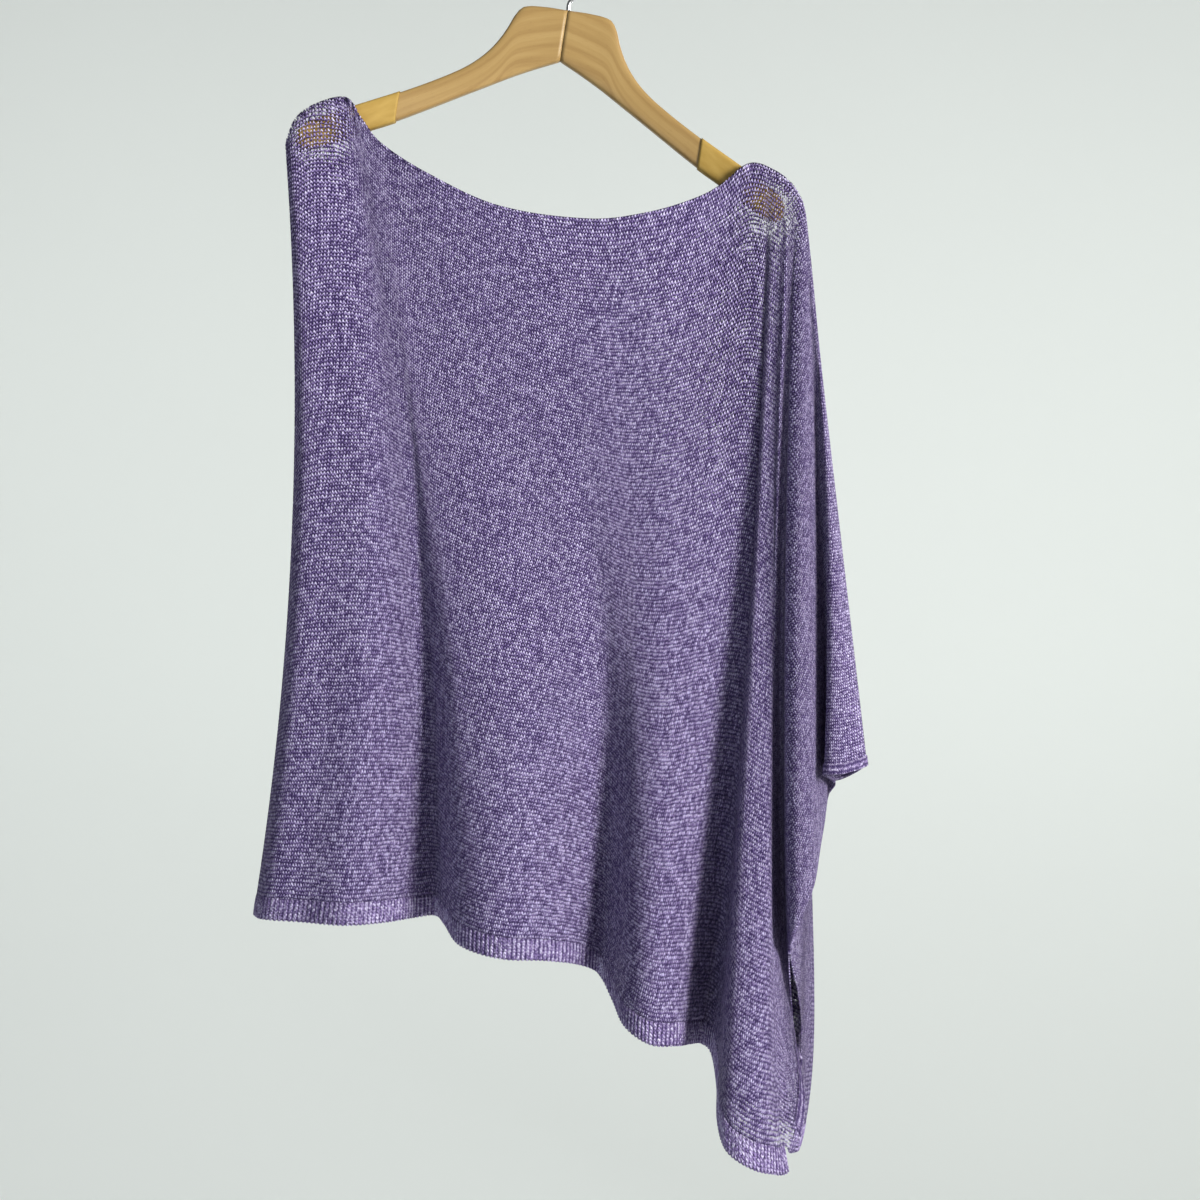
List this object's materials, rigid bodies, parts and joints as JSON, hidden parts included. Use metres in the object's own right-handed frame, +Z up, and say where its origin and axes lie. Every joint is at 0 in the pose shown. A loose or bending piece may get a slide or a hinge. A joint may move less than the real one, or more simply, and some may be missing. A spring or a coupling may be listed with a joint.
{
  "type": "knitted poncho sweater on a wooden hanger",
  "caption": "Wide knitted poncho sweater with a boat neck, ribbed hem and side slit, hung in deep folds over the arms of a wooden hanger with a round steel hook.",
  "frame": {"origin": "inside of the hook's crown, where a rail or peg holds the hanger", "axes": "+Z up along the way it hangs, the garment's front toward -Y, +X toward its slit side"},
  "size_m": [0.5218, 0.1781, 1.0418],
  "materials": {
    "knit": "open melange knit",
    "knit_rib": "ribbed knit",
    "wood": "lacquered beech",
    "grip": "matt non-slip sleeve",
    "steel": "bright wire"
  },
  "bodies": {
    "root": {"front_panel": "knit", "back_panel": "knit", "front_hem_rib": "knit_rib", "back_hem_rib": "knit_rib", "front_neck_band": "knit_rib", "back_neck_band": "knit_rib", "front_slit_band": "knit_rib", "back_slit_band": "knit_rib", "front_cuff_band": "knit_rib", "back_cuff_band": "knit_rib", "hanger_arm_left": "wood", "hanger_arm_right": "wood", "grip_left": "grip", "grip_right": "grip", "hanger_hook": "steel"}
  },
  "joints": []
}
